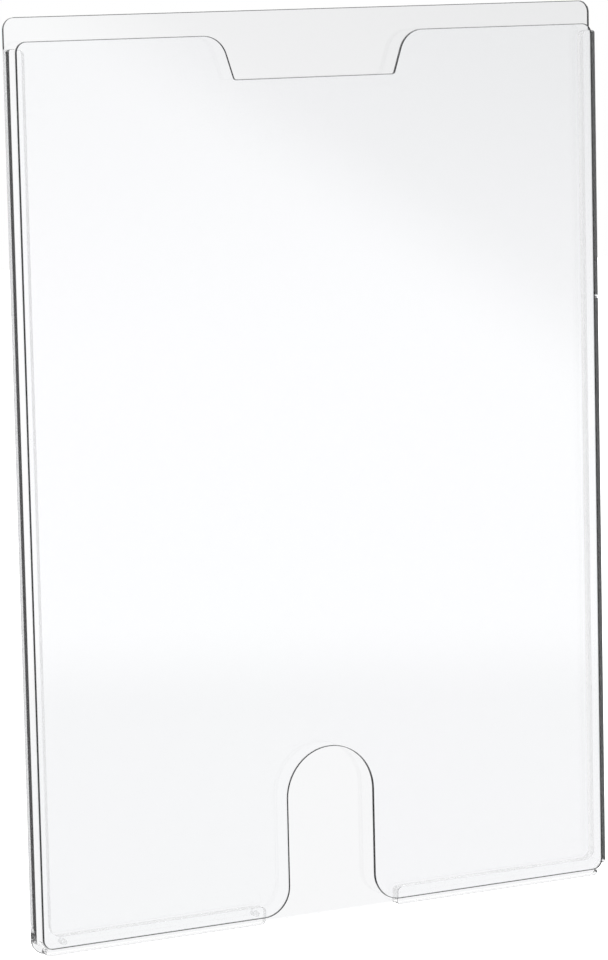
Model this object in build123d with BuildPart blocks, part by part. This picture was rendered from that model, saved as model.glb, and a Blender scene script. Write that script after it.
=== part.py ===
from build123d import *

import os
from math import radians, tan

# A clear document pocket for one upright A4 sheet, fixed with its back against a wall or a door.
# Millimetres. X runs to the reader's right, Z up, and the reader stands on the -Y side.
# The origin is the centre of the back panel's rear face, the face that lies on the wall.
os.makedirs("parts", exist_ok=True)

# ---- Driving dimensions ----------------------------------------------------------------------

# The sheet that the pocket is made for, and the room round it.
sheet_width = 210.0
sheet_height = 297.0
sheet_side_play = 1.8
sheet_top_play = 0.2

# Depths, from the wall towards the reader.
back_thickness = 1.4
pocket_depth = 3.7
front_thickness = 1.2

# Back panel.
back_rise = 7.9
back_top_radius = 4.0
back_bottom_radius = 5.0

# Rails: an upright beside the sheet and a foot under it, in one piece.
rail_width = 5.2
foot_width = 6.2
rail_top_drop = 2.4
rail_bend_radius = 3.5
rail_top_inner_radius = 2.2
foot_end_radius = 1.7

# Ledge of each rail that stays bare round the front panel, and its end rounds as a share of it.
side_ledge = 2.0
foot_ledge = 2.3
ledge_end_share = 0.45

# Relief at each rail's bottom corner, measured from the back panel's corner.
relief_width = 3.4
relief_height = 4.2

# Front panel.
front_top_radius = 3.6
front_bottom_radius = 3.6
edge_round = 0.25

# Grip notch in the front panel's top edge.
notch_floor_width = 61.0
notch_depth = 14.8
notch_flank_angle = 18.0
notch_shoulder_radius = 9.0
notch_root_radius = 1.0

# Thumb slot in the front panel's bottom edge.
thumb_slot_width = 33.4
thumb_slot_height = 57.0
thumb_flare_radius = 10.0
foot_end_overlap = 0.7

# Locating pins, which stand in the left foot and seat in both panels.
pin_diameter = 2.0
pin_clearance = 0.05
pin_seat_depth = 0.7
pin_from_side = 9.7
pin_from_foot_end = 3.8

# Gate mark on the right rail's outer face.
gate_mark_radius = 0.5
gate_mark_z = 52.0

# ---- Places worked out from them -------------------------------------------------------------

half_width = sheet_width / 2 + sheet_side_play + rail_width
half_height = (foot_width + sheet_height + sheet_top_play + back_rise) / 2

front_side = half_width - side_ledge
front_top = half_height - back_rise
front_bottom = -half_height + foot_ledge
notch_floor = front_top - notch_depth
notch_shoulder = notch_floor_width / 2 + notch_depth * tan(radians(notch_flank_angle))
slot_side = thumb_slot_width / 2
slot_centre = front_bottom + thumb_slot_height - slot_side

rail_inner = half_width - rail_width
rail_top = front_top - rail_top_drop
foot_top = -half_height + foot_width
foot_end = slot_side + thumb_flare_radius - foot_end_overlap

relief_side = half_width - relief_width
relief_top = -half_height + relief_height
side_end_round = ledge_end_share * side_ledge
foot_end_round = ledge_end_share * foot_ledge

pin_z = (foot_top + front_bottom) / 2
pin_spots = [(pin_from_side - half_width, pin_z), (-foot_end - pin_from_foot_end, pin_z)]
pin_hole_radius = pin_diameter / 2 + pin_clearance

# A sketch on one of these planes has X to the right and Z up, and extrudes towards the reader.
wall_plane = Plane.XZ
rail_plane = Plane.XZ.offset(back_thickness)
front_plane = Plane.XZ.offset(back_thickness + pocket_depth)


def closed_outline(corners):
    """Edges of a closed outline, given as (x, z, radius) corners."""
    with BuildLine() as outline:
        FilletPolyline(*[(x, z) for x, z, _ in corners], radius=[r for _, _, r in corners], close=True)
    return outline.edges()


def rail_outline(side):
    """Outline of one rail: -1 is the left one, 1 the right one.

    It runs down the inner edge, along the foot, and back past the relief at the bottom corner,
    where the ledge stops short and has a rounded end on each side.
    """
    corners = [
        (half_width, rail_top, side_end_round),
        (rail_inner, rail_top, rail_top_inner_radius),
        (rail_inner, foot_top, rail_bend_radius),
        (foot_end, foot_top, foot_end_radius),
        (foot_end, -half_height, foot_end_round),
        (relief_side, -half_height, foot_end_round),
        (relief_side, front_bottom, foot_end_round),
        (relief_side - foot_ledge / 2, front_bottom, 0),
        (front_side, relief_top + side_ledge / 2, 0),
        (front_side, relief_top, side_end_round),
        (half_width, relief_top, side_end_round),
    ]
    return closed_outline([(side * x, z, radius) for x, z, radius in corners])


# ---- Back panel: a flat sheet, rounded at its corners, with two blind seats for the pins -------

with BuildPart() as back_panel:
    with BuildSketch(wall_plane):
        make_face(
            closed_outline(
                [
                    (half_width, half_height, back_top_radius),
                    (half_width, -half_height, back_bottom_radius),
                    (-half_width, -half_height, back_bottom_radius),
                    (-half_width, half_height, back_top_radius),
                ]
            )
        )
    extrude(amount=back_thickness)
    fillet(back_panel.faces().sort_by(Axis.Y)[-1].edges(), radius=edge_round)
    with BuildSketch(rail_plane):
        with Locations(*pin_spots):
            Circle(pin_hole_radius)
    extrude(amount=-pin_seat_depth, mode=Mode.SUBTRACT)
back_panel.part.label = "back_panel"
export_step(back_panel.part, "parts/back_panel.step")

# ---- Rails: cemented to the back panel, they hold the front panel off it -----------------------

with BuildPart() as left_rail:
    with BuildSketch(rail_plane):
        make_face(rail_outline(-1))
        with Locations(*pin_spots):
            Circle(pin_hole_radius, mode=Mode.SUBTRACT)
    extrude(amount=pocket_depth)
left_rail.part.label = "left_rail"
export_step(left_rail.part, "parts/left_rail.step")

with BuildPart() as right_rail:
    with BuildSketch(rail_plane):
        make_face(rail_outline(1))
    extrude(amount=pocket_depth)
    with BuildSketch(rail_plane):
        with Locations((half_width, gate_mark_z)):
            Circle(gate_mark_radius)
    extrude(amount=pocket_depth, mode=Mode.SUBTRACT)
right_rail.part.label = "right_rail"
export_step(right_rail.part, "parts/right_rail.step")

# ---- Front panel: grip notch in the top edge, thumb slot in the bottom edge --------------------

with BuildPart() as front_panel:
    with BuildSketch(front_plane):
        with BuildLine():
            FilletPolyline(
                (0, notch_floor),
                (notch_floor_width / 2, notch_floor),
                (notch_shoulder, front_top),
                (front_side, front_top),
                (front_side, front_bottom),
                (slot_side, front_bottom),
                (slot_side, slot_centre),
                radius=[
                    notch_root_radius,
                    notch_shoulder_radius,
                    front_top_radius,
                    front_bottom_radius,
                    thumb_flare_radius,
                ],
            )
            CenterArc((0, slot_centre), slot_side, 0, 90)
            mirror(about=Plane.YZ)
        make_face()
    extrude(amount=front_thickness)
    fillet(front_panel.faces().sort_by(Axis.Y)[0].edges(), radius=edge_round)
    with BuildSketch(front_plane):
        with Locations(*pin_spots):
            Circle(pin_hole_radius)
    extrude(amount=pin_seat_depth, mode=Mode.SUBTRACT)
front_panel.part.label = "front_panel"
export_step(front_panel.part, "parts/front_panel.step")

# ---- Locating pins: they line the front panel up while it is fixed -----------------------------

with BuildPart() as locating_pins:
    with BuildSketch(Plane.XZ.offset(back_thickness - pin_seat_depth)):
        with Locations(*pin_spots):
            Circle(pin_diameter / 2)
    extrude(amount=pocket_depth + 2 * pin_seat_depth)
locating_pins.part.label = "locating_pins"
export_step(locating_pins.part, "parts/locating_pins.step")

print("width", round(2 * half_width, 2), "height", round(2 * half_height, 2))
print("depth", round(back_thickness + pocket_depth + front_thickness, 2))
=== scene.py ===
# %% [markdown]
# # A clear wall pocket for one sheet
#
# The object is a flat pocket of clear, hard plastic. A back panel lies on the wall, two rails stand
# on it, and a thinner front panel closes the pocket over the rails. It holds one upright sheet of paper.
#
# A clear object is hard to show, because all that can be seen of it is what its edges do to the light.
# So the looks come down to three things: exact shapes for the edges, real light paths through the
# plastic, and a studio that gives those paths something dark to find.

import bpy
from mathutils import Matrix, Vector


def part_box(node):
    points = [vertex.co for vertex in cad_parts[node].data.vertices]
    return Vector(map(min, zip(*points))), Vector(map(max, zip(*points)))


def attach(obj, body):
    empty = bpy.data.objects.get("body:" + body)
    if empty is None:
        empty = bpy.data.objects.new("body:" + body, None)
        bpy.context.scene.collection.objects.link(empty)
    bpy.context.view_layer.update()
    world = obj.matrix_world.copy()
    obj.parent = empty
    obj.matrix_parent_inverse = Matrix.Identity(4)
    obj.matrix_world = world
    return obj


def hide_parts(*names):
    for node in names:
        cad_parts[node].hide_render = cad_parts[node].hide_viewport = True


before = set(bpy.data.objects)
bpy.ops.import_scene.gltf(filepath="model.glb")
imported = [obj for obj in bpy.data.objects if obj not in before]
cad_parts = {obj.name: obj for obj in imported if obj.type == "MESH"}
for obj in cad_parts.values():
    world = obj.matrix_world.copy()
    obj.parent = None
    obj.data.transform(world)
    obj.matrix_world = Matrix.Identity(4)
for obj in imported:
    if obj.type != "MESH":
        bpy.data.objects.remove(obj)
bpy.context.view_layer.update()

# %% Libraries and units
from math import pi, radians, tan

import bpy
import numpy as np
from mathutils import Matrix, Vector
from mathutils.geometry import delaunay_2d_cdt

MM = 0.001
DEGREE = pi / 180
print("Blender", bpy.app.version_string, "numpy", np.__version__)

# %% [markdown]
# ## Sizes
#
# The frame gives every size that shows in a node's box: the panels' widths and heights, and the depths
# of each layer. X runs to the reader's right, Z up and Y into the wall. What a box can't tell, such as a
# corner's radius or the width of a rail, is a named value here, in the same terms as the design.

# %% Sizes read from the frame
back_low, back_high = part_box("back_panel")
rail_low, rail_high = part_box("right_rail")
front_low, front_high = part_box("front_panel")
pin_low, pin_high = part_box("locating_pins")

half_width, half_height = back_high.x, back_high.z
front_side, front_top, front_bottom = front_high.x, front_high.z, front_low.z
rail_top, foot_end = rail_high.z, rail_low.x

wall_y = back_high.y
rail_y = back_low.y
front_y = rail_low.y
face_y = front_low.y
pin_radius = (pin_high.z - pin_low.z) / 2
print("overall mm", [round(s / MM, 2) for s in (2 * half_width, wall_y - face_y, 2 * half_height)])

# %% Sizes that a box can't tell
back_top_radius = 4.0 * MM
back_bottom_radius = 5.0 * MM
panel_rim = 0.25 * MM

rail_width = 5.2 * MM
foot_width = 6.2 * MM
rail_bend_radius = 3.5 * MM
rail_top_radius = 2.2 * MM
foot_end_radius = 1.7 * MM
rail_rim = 0.1 * MM
relief_width = 3.4 * MM
relief_height = 4.2 * MM
side_end_round = 0.9 * MM
foot_end_round = 1.035 * MM
crease_radius = 0.03 * MM

front_corner_radius = 3.6 * MM
notch_floor_half = 30.5 * MM
notch_depth = 14.8 * MM
notch_flank_angle = radians(18.0)
notch_shoulder_radius = 9.0 * MM
notch_root_radius = 1.0 * MM
slot_half = 16.7 * MM
slot_height = 57.0 * MM
slot_flare_radius = 10.0 * MM

pin_clearance = 0.05 * MM
pin_end_gap = 0.03 * MM
gate_radius = 0.5 * MM
gate_lip_radius = 0.12 * MM
gate_z = 52.0 * MM
cement_margin = 0.1 * MM
front_gap = 0.03 * MM
room_for_sheet = (2 * (half_width - rail_width), rail_y - front_y, front_top + half_height - foot_width)
print("pocket's room mm", [round(s / MM, 1) for s in room_for_sheet])

# %% [markdown]
# ## Outlines
#
# Every piece is cut from sheet, so each one is a flat outline given a thickness. An outline could be a
# curve object with a bevel, but then its corners would be facets with no say over their normals, and
# clear plastic shows every facet. Worked out as numbers, each point on the outline comes with the exact
# direction in which the edge faces there.

# %% Rounded outlines
CORNER_STEPS = 14
CIRCLE_STEPS = 48
SAME_POINT = 1e-4 * MM


def rounded(corners):
    """Points and outward directions along a closed outline, from rows of x, z, radius, anticlockwise.

    Each corner becomes an arc. It starts radius * tan(half the turn) before the corner, on the side that
    comes in. From there the outward direction swings evenly through the turn, and the point moves by
    radius * (that direction - the first one), with the sign of the turn, so a hollow corner bends in.
    """
    corners = np.array(corners, float)
    place, radius = corners[:, :2], corners[:, 2]
    come = place - np.roll(place, 1, axis=0)
    come /= np.linalg.norm(come, axis=1)[:, None]
    leave = np.roll(come, -1, axis=0)
    turn = np.arctan2(come[:, 0] * leave[:, 1] - come[:, 1] * leave[:, 0], (come * leave).sum(1))
    start = place - come * (radius * np.tan(abs(turn) / 2))[:, None]
    first = np.stack([come[:, 1], -come[:, 0]], axis=1)
    share = np.linspace(0, 1, CORNER_STEPS + 1)
    angle = np.arctan2(first[:, 1], first[:, 0])[:, None] + turn[:, None] * share
    facing = np.stack([np.cos(angle), np.sin(angle)], axis=2)
    points = start[:, None] + (np.sign(turn) * radius)[:, None, None] * (facing - first[:, None])
    points, facing = points.reshape(-1, 2), facing.reshape(-1, 2)
    apart = np.linalg.norm(points - np.roll(points, -1, axis=0), axis=1) > SAME_POINT
    return points[apart], facing[apart]


def circle(centre, radius, steps=CIRCLE_STEPS):
    """Points and outward directions round a circle, anticlockwise: centre + radius * direction."""
    angle = np.linspace(0, 2 * pi, steps, endpoint=False)
    facing = np.stack([np.cos(angle), np.sin(angle)], axis=1)
    return np.array(centre) + radius * facing, facing


def flipped(corners):
    """The same corners on the other side of the middle, still anticlockwise."""
    return [(-x, z, radius) for x, z, radius in reversed(corners)]


square = rounded([(1, -1, 0.5), (1, 1, 0.5), (-1, 1, 0.5), (-1, -1, 0.5)])[0]
print("a square with rounded corners has", len(square), "points")

# %% [markdown]
# ## Walls
#
# A sheet's edge is never quite sharp, and on clear plastic the small round along it is what draws the
# line; where the round's finish is dark, that line is partly painted shade. So the edge is a surface of
# two parameters: one goes along the outline, the other over a short profile from the rear face to the
# front face. A bevel modifier could round the edge too, but it would round the joints between pieces as
# well. Each set of triangles carries the name of its finish, because a sheet's face, the flat of its
# edge and the small round between them don't treat light alike.

# %% Walls
RIM_STEPS = 5


def quads(grid):
    """The two triangles of every cell of a grid whose second direction is closed."""
    a, b = grid[:-1], np.roll(grid[:-1], -1, axis=1)
    c, d = np.roll(grid[1:], -1, axis=1), grid[1:]
    return np.stack([np.stack([a, b, c], axis=2), np.stack([a, c, d], axis=2)])


def wall(outline, rear, front, rear_rim=0.0, front_rim=0.0, flat="edge", rim="rim"):
    """The edge surface along an outline, as named sets of triangles with normals, and its end rings.

    The lean runs from +90 degrees, where the round meets the rear face, to 0 on the edge's flat, to -90
    degrees at the front face. A point at that lean is moved in by rim * (1 - cos(lean)) and lies
    rim * (1 - sin(|lean|)) from its face. Its normal is cos(lean) outward plus sin(lean) along Y. The
    finishes of the flat and of the rim are one name each, or one for each point along the outline.
    """
    points, facing = outline
    rear_lean = np.linspace(pi / 2, 0, RIM_STEPS + 1) if rear_rim else np.zeros(1)
    front_lean = np.linspace(0, -pi / 2, RIM_STEPS + 1) if front_rim else np.zeros(1)
    lean = np.concatenate([rear_lean, front_lean])
    inset = np.concatenate([rear_rim * (1 - np.cos(rear_lean)), front_rim * (1 - np.cos(front_lean))])
    behind = rear - rear_rim * (1 - np.sin(rear_lean))
    ahead = front + front_rim * (1 + np.sin(front_lean))
    y = np.concatenate([behind, ahead])
    place = np.empty((len(lean), len(points), 3))
    place[..., 0::2] = points - inset[:, None, None] * facing
    place[..., 1] = y[:, None]
    normal = np.empty_like(place)
    normal[..., 0::2] = np.cos(lean)[:, None, None] * facing
    normal[..., 1] = np.sin(lean)[:, None]
    corners, normals = quads(place), quads(normal)
    leaning = (abs(lean[:-1] + lean[1:]) > 0)[:, None]
    cells = np.broadcast_to(np.where(leaning, rim, flat), corners.shape[1:3])
    sets = []
    for name in np.unique(cells).tolist():
        mine = cells == name
        sets.append((name, (corners[:, mine].reshape(-1, 3, 3), normals[:, mine].reshape(-1, 3, 3))))
    return sets, place[0][:, 0::2], place[-1][:, 0::2]


def tube(hole, rear, front):
    """The wall of a hole: the wall round the same circle, turned to face the hole's middle."""
    sets, _, _ = wall(hole, rear, front, flat="faint")
    return [(name, (corners[:, ::-1], -normals[:, ::-1])) for name, (corners, normals) in sets]


trial, _, _ = wall(circle((0, 0), 1.0), 1.0, 0.0, front_rim=0.1)
print("a disc's wall:", {name: len(corners) for name, (corners, _) in trial})

# %% [markdown]
# ## Flat faces and shells
#
# The flat faces are filled in once the walls have given their end rings. Filling a ring with one big
# face would do for a plain sheet, but holes and cemented areas have to be zones of their own, so the
# face is a triangulation that keeps every ring as an edge. A shell then joins walls and faces into one
# closed mesh, and keeps the exact normals, because a clear solid with a gap or a wrong normal bends
# light the wrong way.

# %% Flat faces
TOUCHING = 1e-9


def face(ring, y, rear=False, zones=()):
    """The flat face inside a ring, as one set of triangles, then one for each zone, a ring within it.

    A constrained triangulation keeps every ring as an edge and says which rings each triangle is inside.
    """
    rings = [ring, *zones]
    starts = np.cumsum([0] + [len(r) for r in rings])
    loops = [list(range(a, b)) for a, b in zip(starts[:-1], starts[1:])]
    points = np.concatenate(rings)
    filled = delaunay_2d_cdt([Vector(p) for p in points], [], loops, 1, TOUCHING, True)
    _, _, triangles, source, _, inside = filled
    kept = np.array([ids[0] for ids in source])
    corners = np.insert(points[kept[np.array(triangles)]], 1, y, axis=2)
    if rear:
        corners = corners[:, ::-1]
    normals = np.zeros_like(corners)
    normals[..., 1] = 1.0 if rear else -1.0
    innermost = np.array([max(ids, default=-1) for ids in inside])
    return [("sheet", (corners[innermost == k], normals[innermost == k])) for k in range(len(rings))]


print("a square's face has", len(face(square, 0.0)[0][1][0]), "triangles")

# %% Shells
finishes_of = {}


def shell(name, sets):
    """A closed mesh from named sets of triangles: points that coincide become one, normals are kept."""
    finishes = sorted({finish for finish, _ in sets})
    corners = np.concatenate([c for _, (c, _) in sets])
    normals = np.concatenate([n for _, (_, n) in sets])
    slots = np.concatenate([np.full(len(c), finishes.index(finish)) for finish, (c, _) in sets])
    grid = np.round(corners.reshape(-1, 3) / SAME_POINT).astype(int)
    _, first, index = np.unique(grid, axis=0, return_index=True, return_inverse=True)
    index = index.reshape(-1, 3)
    whole = (index != np.roll(index, 1, axis=1)).all(1)
    index, normals, slots = index[whole], normals[whole], slots[whole]
    mesh = bpy.data.meshes.new(name)
    mesh.from_pydata(corners.reshape(-1, 3)[first], [], index, shade_flat=False)
    mesh.polygons.foreach_set("material_index", slots.astype(np.int32))
    mesh.normals_split_custom_set(normals.reshape(-1, 3))
    piece = bpy.data.objects.new(name, mesh)
    bpy.context.scene.collection.objects.link(piece)
    finishes_of[name] = finishes
    sides = np.sort(np.concatenate([index[:, [0, 1]], index[:, [1, 2]], index[:, [2, 0]]]), axis=1)
    count = np.unique(sides, axis=0, return_counts=True)[1]
    print(name, len(index), "triangles, open edges:", int((count != 2).sum()), "finishes:", finishes)
    return piece


def cemented_set(named):
    """The same triangles with the cemented finish."""
    return "cemented", named[1]


# %% [markdown]
# ## Where the pieces meet
#
# The rails are cemented to the back panel. A good cement joint in clear plastic can't be seen: light
# goes on through it as if both pieces were one. Two faces of clear plastic that merely touch would bend
# and mirror the light instead. So each rail's rear face, and a zone of the same shape on the back panel,
# get a finish that lets light pass unbent. The front panel is a separate sheet with a thin film of air
# behind it, which is why its edge draws its own dark line.

# %% Outlines of the rails, and the cemented zones in them
rail_inner = half_width - rail_width
foot_top = foot_width - half_height
relief_side = half_width - relief_width
relief_top = relief_height - half_height
side_ledge = half_width - front_side
foot_ledge = front_bottom + half_height

rail_corners = [
    (half_width, rail_top, side_end_round),
    (rail_inner, rail_top, rail_top_radius),
    (rail_inner, foot_top, rail_bend_radius),
    (foot_end, foot_top, foot_end_radius),
    (foot_end, -half_height, foot_end_round),
    (relief_side, -half_height, foot_end_round),
    (relief_side, front_bottom, foot_end_round),
    (relief_side - foot_ledge / 2, front_bottom, crease_radius),
    (front_side, relief_top + side_ledge / 2, crease_radius),
    (front_side, relief_top, side_end_round),
    (half_width, relief_top, side_end_round),
]
gate_corners = [
    (half_width, gate_z - gate_radius, gate_lip_radius),
    (half_width - gate_radius, gate_z - gate_radius, gate_radius - gate_lip_radius),
    (half_width - gate_radius, gate_z + gate_radius, gate_radius - gate_lip_radius),
    (half_width, gate_z + gate_radius, gate_lip_radius),
]
left_outline = rounded(flipped(rail_corners))
right_outline = rounded(rail_corners + gate_corners)
left_zone, right_zone = (
    points - cement_margin * facing for points, facing in (left_outline, right_outline)
)

pin_z = (pin_low.z + pin_high.z) / 2
pin_spots = [(pin_low.x + pin_radius, pin_z), (pin_high.x - pin_radius, pin_z)]
pin_holes = [circle(spot, pin_radius + pin_clearance) for spot in pin_spots]
hole_rings = [ring for ring, _ in pin_holes]
print("pins at mm", np.round(np.array(pin_spots) / MM, 2).tolist())

# %% [markdown]
# ## Back panel
#
# The back panel is a plain sheet with rounded corners, and its rear edge is rounded where it meets the
# wall. Its front face holds four zones: one under each rail, and the blind seats of two pins. A round
# that faces down would draw a dark line through the clear feet, so there it gets the cemented finish,
# which draws nothing.

# %% Back panel
FACES_DOWN = -0.95

back_outline = rounded(
    [
        (half_width, -half_height, back_bottom_radius),
        (half_width, half_height, back_top_radius),
        (-half_width, half_height, back_top_radius),
        (-half_width, -half_height, back_bottom_radius),
    ]
)
# The rear round takes the rim finish, painted shade that draws a dark line, except where it faces down.
back_rim = np.where(back_outline[1][:, 1] < FACES_DOWN, "cemented", "rim")
edge, rear_ring, front_ring = wall(back_outline, wall_y, rail_y, rear_rim=panel_rim, rim=back_rim)
rear_face = face(rear_ring, wall_y, rear=True)
zones = [left_zone, right_zone, *hole_rings]
open_face, left_cement, right_cement, *_ = face(front_ring, rail_y, zones=zones)
seat_y = pin_high.y + pin_end_gap
seats = [part for hole in pin_holes for part in tube(hole, seat_y, rail_y)]
seat_floors = [face(ring, seat_y)[0] for ring in hole_rings]
cement = [cemented_set(left_cement), cemented_set(right_cement)]
back_panel = shell("back_panel_clear", [*edge, *rear_face, open_face, *seats, *seat_floors, *cement])

# %% [markdown]
# ## Rails
#
# Each rail is one piece: an upright beside the sheet and a foot that the sheet stands on. The front
# panel stops short of the rail's outer side, so a narrow ledge of the rail stays bare all round. At the
# bottom corner the ledge stops, with a rounded end on each side. The right rail's outer side has the
# small mark that is left where a moulded piece was fed. The walls that face the pocket are as sawn, so
# they are satin. The round in front has painted shade only round the feet, where a dark line shows.

# %% Rails
FACES_POCKET = 0.7
TOP_SKIN = 1e-3 * MM


def rail(name, outline, zone, holes=()):
    """A rail: its edge, its cemented rear face, its front face, and the holes through it.

    A point of the outline faces the pocket where how far it faces up and how far it faces the middle
    come to more than FACES_POCKET together, and where it isn't on the rail's top.
    """
    rings = [ring for ring, _ in holes]
    points, facing = outline
    inward = facing[:, 1] - np.sign(points[:, 0]) * facing[:, 0] > FACES_POCKET
    flat = np.where(inward & (points[:, 1] < rail_top - TOP_SKIN), "satin", "edge")
    foot_tip = abs(points[:, 0]) < foot_end + foot_end_radius
    # Painted shade: the rounds at the foot tips and those that face down take the dark rim finish.
    rim = np.where(foot_tip | (facing[:, 1] < FACES_DOWN), "rim", "edge")
    edge, rear_ring, front_ring = wall(outline, rail_y, front_y, front_rim=rail_rim, flat=flat, rim=rim)
    rear = [cemented_set(part) for part in face(rear_ring, rail_y, rear=True, zones=[zone, *rings])[:2]]
    front = face(front_ring, front_y, zones=rings)[0]
    tubes = [part for hole in holes for part in tube(hole, rail_y, front_y)]
    return shell(name, [*edge, front, *tubes, *rear])


left_rail = rail("left_rail_clear", left_outline, left_zone, pin_holes)
right_rail = rail("right_rail_clear", right_outline, right_zone)

# %% [markdown]
# ## Front panel
#
# The front panel carries the two openings that a hand needs: a wide notch in the top edge, to take hold
# of the sheet, and a thumb slot in the bottom edge, to push it up. The slot ends in a half circle, so
# its top two corners have a radius of half its width and their arcs meet in the middle. Both sides of
# the edge are rounded, because the edge is polished all over.

# %% Front panel
notch_floor = front_top - notch_depth
notch_shoulder = notch_floor_half + notch_depth * tan(notch_flank_angle)
half_front = [
    (front_side, front_bottom, front_corner_radius),
    (front_side, front_top, front_corner_radius),
    (notch_shoulder, front_top, notch_shoulder_radius),
    (notch_floor_half, notch_floor, notch_root_radius),
]
half_slot = [
    (slot_half, front_bottom + slot_height, slot_half),
    (slot_half, front_bottom, slot_flare_radius),
]
front_outline = rounded(half_front + flipped(half_front) + flipped(half_slot) + half_slot)

panel_y = front_y - front_gap
front_seat_y = pin_low.y - pin_end_gap
# Both rounds of the front panel's edge take the rim finish, painted shade that draws its dark outline.
front_wall = wall(front_outline, panel_y, face_y, rear_rim=panel_rim, front_rim=panel_rim)
edge, rear_ring, front_ring = front_wall
rear_face = face(rear_ring, panel_y, rear=True, zones=hole_rings)[0]
front_face = face(front_ring, face_y)[0]
seats = [part for hole in pin_holes for part in tube(hole, panel_y, front_seat_y)]
seat_floors = [face(ring, front_seat_y, rear=True)[0] for ring in hole_rings]
front_panel = shell("front_panel_clear", [*edge, rear_face, front_face, *seats, *seat_floors])

# %% [markdown]
# ## Locating pins
#
# Two small clear pins stand in the left foot and reach into both panels. They keep the front panel
# square to the back while it is fixed. A pin is one outline, a circle, carried straight along Y.

# %% Locating pins
pin_sets = []
for spot in pin_spots:
    side, rear_ring, front_ring = wall(circle(spot, pin_radius), pin_high.y, pin_low.y, flat="faint")
    pin_sets += [*side, face(rear_ring, pin_high.y, rear=True)[0], face(front_ring, pin_low.y)[0]]
locating_pins = shell("locating_pins_clear", pin_sets)

# %% [markdown]
# ## Clear plastic
#
# The plastic is water clear and polished, and bends light like any hard clear plastic. What keeps it
# from looking like nothing at all is very slight: a cast of colour that drifts from lilac to green over
# a hand's width, as moulded sheet shows under white light, and a haze of wiping marks in the gloss.
# Both are patterns on Object coordinates, so they stay on the piece. All the finishes share them, so
# they are one node group, and each finish gives the group its own values.

# %% Node helpers
def fill(tree, socket, value):
    """Link the socket when the value is another socket, or else set it."""
    if isinstance(value, bpy.types.NodeSocket):
        tree.links.new(value, socket)
    else:
        socket.default_value = value


def add(tree, kind, **sockets):
    """A node of that kind with its inputs set or linked by name."""
    node = tree.nodes.new(kind)
    for name, value in sockets.items():
        fill(tree, node.inputs[name.replace("_", " ")], value)
    return node


def calculate(tree, operation, *values):
    """The result of a Math node."""
    node = tree.nodes.new("ShaderNodeMath")
    node.operation = operation
    for socket, value in zip(node.inputs, values):
        fill(tree, socket, value)
    return node.outputs[0]


def blend(tree, share, first, second):
    """A colour that goes from the first to the second as the share goes from 0 to 1."""
    node = tree.nodes.new("ShaderNodeMix")
    node.data_type = "RGBA"
    colours = [socket for socket in node.inputs if socket.type == "RGBA"]
    for socket, value in zip((node.inputs[0], *colours), (share, first, second)):
        fill(tree, socket, value)
    return next(socket for socket in node.outputs if socket.type == "RGBA")


# %% The group and its sockets
finish = bpy.data.node_groups.new("clear_plastic_finish", "ShaderNodeTree")
for name, kind, value in (
    ("Cool cast", "NodeSocketColor", (0.985, 0.982, 1.0, 1)),
    ("Warm cast", "NodeSocketColor", (0.985, 1.0, 0.99, 1)),
    # The flank colour is painted shade wherever a finish sets it darker than its cast.
    ("Flank painted shade", "NodeSocketColor", (0.985, 0.985, 1.0, 1)),
    ("Frost", "NodeSocketFloat", 0.0),
    ("Haze", "NodeSocketFloat", 0.01),
):
    finish.interface.new_socket(name, in_out="INPUT", socket_type=kind).default_value = value
finish.interface.new_socket("Color", in_out="OUTPUT", socket_type="NodeSocketColor")
finish.interface.new_socket("Roughness", in_out="OUTPUT", socket_type="NodeSocketFloat")
given = finish.nodes.new("NodeGroupInput").outputs
result = finish.nodes.new("NodeGroupOutput").inputs
coordinates = finish.nodes.new("ShaderNodeTexCoord").outputs
print("finish group sockets", [socket.name for socket in finish.interface.items_tree])

# %% [markdown]
# The cast drifts between two colours with a wide noise. Edges that face sideways take a third colour,
# painted shade, because they are the darkest lines on a clear sheet: seen from the side, an edge shows
# plastic all the way across the panel. The share of painted shade is x^2 / (x^2 + z^2) of the way the
# surface faces, so it doesn't depend on how far round its edge a point lies.

# %% Drifting cast, with painted shade on the flanks
NEVER_ZERO = 1e-4

drift = add(finish, "ShaderNodeTexNoise", Vector=coordinates["Object"], Scale=9.0, Detail=1.0)
cast = blend(finish, drift.outputs["Fac"], given["Cool cast"], given["Warm cast"])

facing = add(finish, "ShaderNodeSeparateXYZ", Vector=coordinates["Normal"]).outputs
sideways = calculate(finish, "MULTIPLY", facing["X"], facing["X"])
upright = calculate(finish, "MULTIPLY", facing["Z"], facing["Z"])
whole = calculate(finish, "ADD", calculate(finish, "ADD", sideways, upright), NEVER_ZERO)
flank = calculate(finish, "DIVIDE", sideways, whole)
# Painted shade: the share of the flank colour grows as the surface faces sideways.
painted_shade_share = add(finish, "ShaderNodeMapRange", Value=flank, From_Min=0.05, From_Max=0.6)
fill(finish, result["Color"], blend(finish, painted_shade_share.outputs[0], cast, given["Flank painted shade"]))
print("cast nodes", len(finish.nodes))

# %% Wiping marks
WIPED_AT = radians(35)

stretch = add(finish, "ShaderNodeMapping", Vector=coordinates["Object"])
stretch.inputs["Rotation"].default_value = (0.0, WIPED_AT, 0.0)
stretch.inputs["Scale"].default_value = (1.0, 1.0, 14.0)
wiping = add(finish, "ShaderNodeTexNoise", Vector=stretch.outputs[0], Scale=30.0, Detail=3.0)
marks = add(finish, "ShaderNodeMapRange", Value=wiping.outputs["Fac"], From_Min=0.45, From_Max=0.75)
haze = calculate(finish, "MULTIPLY_ADD", marks.outputs[0], given["Haze"], given["Frost"])
fill(finish, result["Roughness"], haze)
print("finish group nodes", len(finish.nodes))

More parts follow.
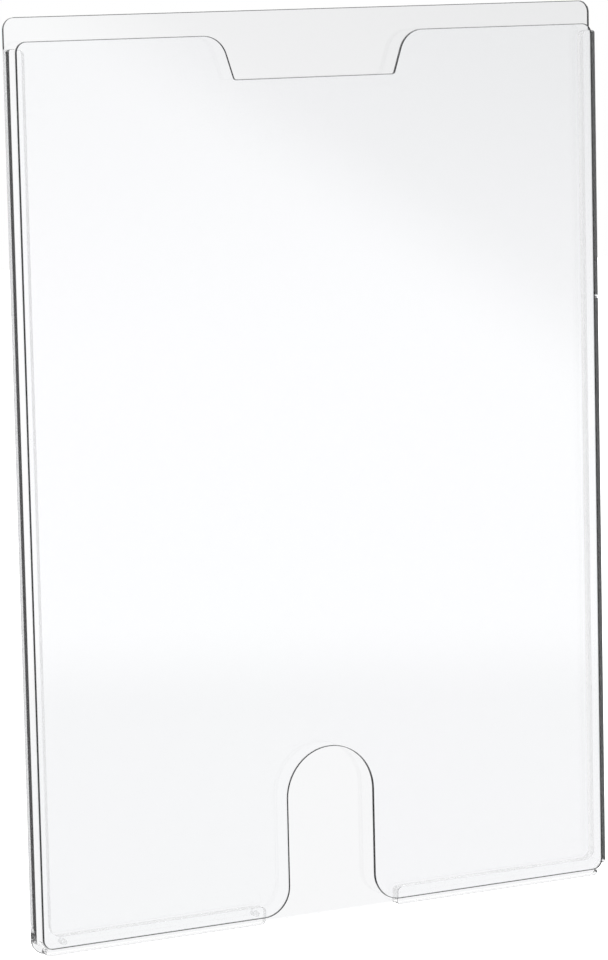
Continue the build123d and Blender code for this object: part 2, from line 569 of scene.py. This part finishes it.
# %% [markdown]
# ## Finishes
#
# One plastic, six finishes. The sheets' faces are clear. The flat of an edge is a little milky, where
# the saw's marks weren't all polished out. The small round along it bends light away from the lamps:
# the shape does part of that by itself, and painted shade, a dark colour that is nearly black on the
# flanks, stands in for the rest. The rails' walls towards the pocket, the pins and their holes are
# satin. Such walls nearly vanish when they are seen through clear plastic, so they are only partly
# opaque. A cemented face isn't there at all for light, so its opacity is 0.

# %% Materials
INDEX_OF_PLASTIC = 1.49


def clear_plastic(name, cool, warm, flank, frost, haze, clearness, opacity=1.0):
    """Clear plastic with its own cast, painted shade on the flanks, frost, haze, share of light let in,
    and opacity.
    """
    material = bpy.data.materials.new(name)
    material.use_nodes = True
    tree = material.node_tree
    group = tree.nodes.new("ShaderNodeGroup")
    group.node_tree = finish
    for socket, colour in (("Cool cast", cool), ("Warm cast", warm), ("Flank painted shade", flank)):
        group.inputs[socket].default_value = (*colour, 1)
    group.inputs["Frost"].default_value = frost
    group.inputs["Haze"].default_value = haze
    shader = tree.nodes["Principled BSDF"].inputs
    tree.links.new(group.outputs["Color"], shader["Base Color"])
    tree.links.new(group.outputs["Roughness"], shader["Roughness"])
    shader["IOR"].default_value = INDEX_OF_PLASTIC
    shader["Transmission Weight"].default_value = clearness
    shader["Alpha"].default_value = opacity
    # The third colour printed is the painted shade on the flanks.
    print(name, "casts", cool, warm, flank)
    return material


lilac, greenish = (0.99, 0.988, 1.0), (0.985, 0.993, 0.995)
milky, milky_warm = (0.95, 0.95, 0.96), (0.94, 0.95, 0.95)
# Painted shade for the small rounds along the edges, darkest on the flanks.
rim_shade, rim_shade_warm, rim_flank_shade = (0.08, 0.08, 0.085), (0.07, 0.075, 0.075), (0.003, 0.003, 0.004)

cemented = bpy.data.materials.new("cemented_face")
cemented.use_nodes = True
cemented.node_tree.nodes["Principled BSDF"].inputs["Alpha"].default_value = 0.0

finish_materials = {
    "sheet": clear_plastic("clear_sheet", lilac, greenish, lilac, 0.0, 0.012, 1.0),
    "edge": clear_plastic("milky_edge", milky, milky_warm, milky, 0.0, 0.05, 0.92),
    # The rim finish is painted shade: a dark colour, nearly black on the flanks, darkens the small
    # rounds.
    "rim": clear_plastic("painted_shade_rim", rim_shade, rim_shade_warm, rim_flank_shade, 0.0, 0.05, 1.0),
    "satin": clear_plastic("satin_edge", milky, milky_warm, milky, 0.3, 0.15, 0.8, opacity=0.3),
    "faint": clear_plastic("faint_edge", milky, milky_warm, milky, 0.3, 0.15, 0.8, opacity=0.12),
    "cemented": cemented,
}

# %% Finishes on the pieces
for piece, node, slot in (
    (back_panel, "back_panel", "back_panel"),
    (left_rail, "left_rail", "rails"),
    (right_rail, "right_rail", "rails"),
    (front_panel, "front_panel", "front_panel"),
    (locating_pins, "locating_pins", "locating_pins"),
):
    for name in finishes_of[piece.name]:
        piece.data.materials.append(finish_materials[name])
    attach(piece, "root")
    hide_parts(node)
    print(piece.name, "rides root, replaces", node, "in slot", slot)

# %% [markdown]
# ## Studio
#
# Clear things are lit from behind. The paper behind the pocket is white where the camera looks at it,
# and whatever is seen straight through the pocket is nearly as white. It turns slightly grey towards the
# top right and near the ground, as paper does where the lamps reach it less, and that is what gives the
# clear faces a tone of their own. A painted backdrop could do the same, but a few sums on the direction
# of a ray need no file and have no grain.

# %% World helpers
world = bpy.data.worlds.new("light_tent")
bpy.context.scene.world = world
world.use_nodes = True
sky = world.node_tree
sky.nodes.clear()


def ramp(value, low, high):
    """0 at low and before it, 1 at high and beyond it, smooth in between. Low may be the larger one."""
    node = add(sky, "ShaderNodeMapRange", Value=value, From_Min=low, From_Max=high)
    node.interpolation_type = "SMOOTHSTEP"
    return node.outputs[0]


def grey(value, low, high, depth):
    """A grey that sets in between two angles in degrees, and takes that much from the white."""
    return calculate(sky, "MULTIPLY", ramp(value, low * DEGREE, high * DEGREE), depth)


ray = add(sky, "ShaderNodeSeparateXYZ", Vector=sky.nodes.new("ShaderNodeTexCoord").outputs["Generated"])
across, away, up = ray.outputs
path = sky.nodes.new("ShaderNodeLightPath").outputs
print("world helpers on", world.name)

# %% Paper behind the pocket
SLOPE, SLOPE_FOOT = 0.71, -17.5 * DEGREE
PAPER_WHITE, PAPER_DARKEST = 1.02, 0.74

bearing, height = calculate(sky, "ARCTAN2", across, away), calculate(sky, "ARCSINE", up)
above_slope = calculate(sky, "ADD", calculate(sky, "MULTIPLY_ADD", bearing, SLOPE, SLOPE_FOOT), height)
falling_off = calculate(sky, "MULTIPLY", calculate(sky, "MAXIMUM", above_slope, 0.0), 0.85)
greys = calculate(sky, "ADD", grey(above_slope, -1.2, 0.8, 0.08), falling_off)
greys = calculate(sky, "ADD", greys, grey(height, -6.0, -1.0, 0.055))
greys = calculate(sky, "ADD", greys, grey(height, -9.3, -10.6, 0.075))
behind_pocket = ramp(away, 0.5, 0.75)
greys = calculate(sky, "MULTIPLY", greys, behind_pocket)
paper = calculate(sky, "MAXIMUM", calculate(sky, "SUBTRACT", PAPER_WHITE, greys), PAPER_DARKEST)
print("paper from", PAPER_WHITE, "down to", PAPER_DARKEST)

# %% [markdown]
# The edges are different. They mirror the sides of the room inside the plastic. To light clear things
# well, one hangs dark cards there, just out of sight, so that the edges turn dark and the pocket gets
# its outline. Real cards would also show straight through the pocket from some sides. So here the cards
# are part of the world, and only rays that have been mirrored at least once find them. They hang behind,
# to both sides, and end at the height of the object, so that an edge that looks up stays white.

# %% Dark cards at the sides
ROOM_LIGHT, CARD_LIGHT = 1.0, 0.03

at_side = ramp(calculate(sky, "ABSOLUTE", across), 0.15, 0.3)
behind = ramp(away, 0.1, 0.3)
not_above = ramp(up, 0.06, 0.02)
cards = calculate(sky, "MULTIPLY", calculate(sky, "MULTIPLY", at_side, behind), not_above)
room = calculate(sky, "MULTIPLY_ADD", cards, CARD_LIGHT - ROOM_LIGHT, ROOM_LIGHT)

mirrored = calculate(sky, "GREATER_THAN", path["Glossy Depth"], 0.5)
not_mirrored = calculate(sky, "SUBTRACT", 1.0, mirrored)
from_room = calculate(sky, "MULTIPLY", mirrored, room)
from_paper = calculate(sky, "MULTIPLY", not_mirrored, paper)
strength = calculate(sky, "MAXIMUM", calculate(sky, "ADD", from_room, from_paper), path["Is Camera Ray"])
background = add(sky, "ShaderNodeBackground", Color=(1, 1, 1, 1), Strength=strength)
sky.links.new(background.outputs[0], sky.nodes.new("ShaderNodeOutputWorld").inputs[0])
print("world nodes", len(sky.nodes))

# %% [markdown]
# ## Floor and lamp
#
# The floor is a wide pale disc just under the pocket. It glows a little, so that it is as white as the
# paper behind it and no horizon shows, and rays that pass through the plastic don't see it, so the
# pocket's bottom isn't cut by its line. One wide soft lamp in front and above gives the gloss.

# %% Floor and lamp
FLOOR_RADIUS, FLOOR_STEPS, FLOOR_DROP = 3.0, 96, 1 * MM

disc, _ = circle((0, 0), FLOOR_RADIUS, FLOOR_STEPS)
floor_points = np.insert(disc, 2, -half_height - FLOOR_DROP, axis=1)
floor_mesh = bpy.data.meshes.new("pale_floor")
floor_mesh.from_pydata(floor_points, [], [list(range(FLOOR_STEPS))])
floor = bpy.data.objects.new("pale_floor", floor_mesh)
bpy.context.scene.collection.objects.link(floor)

paint = bpy.data.materials.new("pale_floor_paint")
paint.use_nodes = True
paint_inputs = paint.node_tree.nodes["Principled BSDF"].inputs
paint_inputs["Base Color"].default_value = (0.9, 0.9, 0.9, 1)
paint_inputs["Roughness"].default_value = 1.0
paint_inputs["Emission Color"].default_value = (1, 1, 1, 1)
paint_inputs["Emission Strength"].default_value = 0.8
floor_mesh.materials.append(paint)
floor.visible_transmission = False
floor.visible_glossy = False

softbox = bpy.data.lights.new("softbox", "AREA")
softbox.shape, softbox.size, softbox.energy = "DISK", 2.0, 8.0
lamp = bpy.data.objects.new("softbox", softbox)
lamp.location = (0.0, -0.6, 2.2)
bpy.context.scene.collection.objects.link(lamp)
lamp_place = [round(c, 2) for c in lamp.location]
print("floor at mm", round(floor_points[0, 2] / MM, 2), "lamp at m", lamp_place)

# %% [markdown]
# ## Camera
#
# The pocket is seen from the reader's left and a little from above, through a long lens. The camera is
# placed by the angles that it is turned by and its distance from the point that it aims at. The lens is
# given as a share of the sensor's width, so the two always fit each other.

# %% Camera
view_from_left, view_from_above, view_roll = radians(28.22), radians(7.38), radians(-1.29)
view_distance = 1.3895
aim = Vector((-3.78, 1.3, -4.5)) * MM
focal_share = 4.2310

camera = bpy.data.objects.new("camera", bpy.data.cameras.new("camera"))
bpy.context.scene.collection.objects.link(camera)
turned = (
    Matrix.Rotation(-view_from_left, 4, "Z")
    @ Matrix.Rotation(pi / 2 - view_from_above, 4, "X")
    @ Matrix.Rotation(view_roll, 4, "Z")
)
camera.matrix_world = Matrix.Translation(aim + turned.to_3x3() @ Vector((0, 0, view_distance))) @ turned
camera.data.sensor_width = 36.0
camera.data.lens = focal_share * camera.data.sensor_width
bpy.context.scene.camera = camera
bpy.context.scene.view_settings.view_transform = "Standard"
print("camera at mm", [round(c / MM) for c in camera.location], "lens", round(camera.data.lens, 1))
